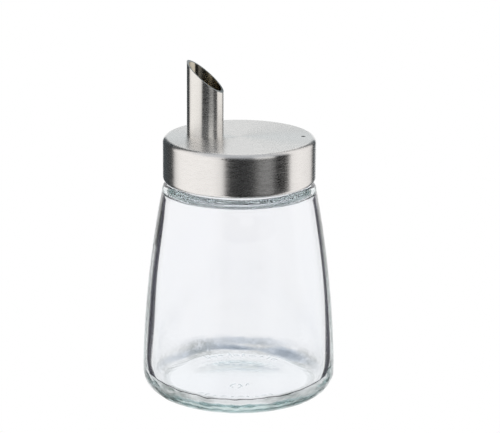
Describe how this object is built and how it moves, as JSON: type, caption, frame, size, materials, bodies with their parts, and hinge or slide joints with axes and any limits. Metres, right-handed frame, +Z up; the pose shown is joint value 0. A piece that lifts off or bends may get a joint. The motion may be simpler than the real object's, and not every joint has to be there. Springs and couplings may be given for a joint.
{
  "type": "sugar pourer jar",
  "caption": "Tapered clear glass jar with a brushed steel screw lid, an off-centre slanted steel pouring tube and a small vent hole in the lid.",
  "frame": {"origin": "centre of the jar's base, on the surface that the jar stands on", "axes": "+Z up along the jar's axis; the pouring tube stands at -X and its slanted mouth falls towards +X, where the vent hole is"},
  "size_m": [0.0796, 0.0796, 0.1384],
  "materials": {
    "clear_glass": "clear pressed soda-lime glass, very slightly green in the thick base",
    "silicone": "translucent white silicone, satin",
    "brushed_steel": "stainless steel brushed around the axis on both the skirt and the top",
    "white_plastic": "natural white polypropylene, fine matt",
    "tube_steel": "stainless tube, brushed around, with a polished rim",
    "collar_steel": "plain pressed steel"
  },
  "bodies": {
    "jar": {"glass_jar": "clear_glass"},
    "seal": {"seal_ring": "silicone"},
    "lid": {"lid_shell": "brushed_steel", "thread_insert": "white_plastic", "pour_tube": "tube_steel", "tube_collar": "collar_steel"}
  },
  "joints": [
    {"name": "lid_rise", "type": "slide", "parent": "jar", "child": "seal", "axis": [0, 0, 1], "range_m": [0, 0.0168]},
    {"name": "lid_turn", "type": "hinge", "parent": "seal", "child": "lid", "pos_m": [0, 0, 0.098], "axis": [0, 0, 1], "range_deg": [0, 1440]}
  ],
  "couplings": [
    {"joint": "lid_rise", "follows": "lid_turn", "m_per_rad": 0.00066845}
  ]
}
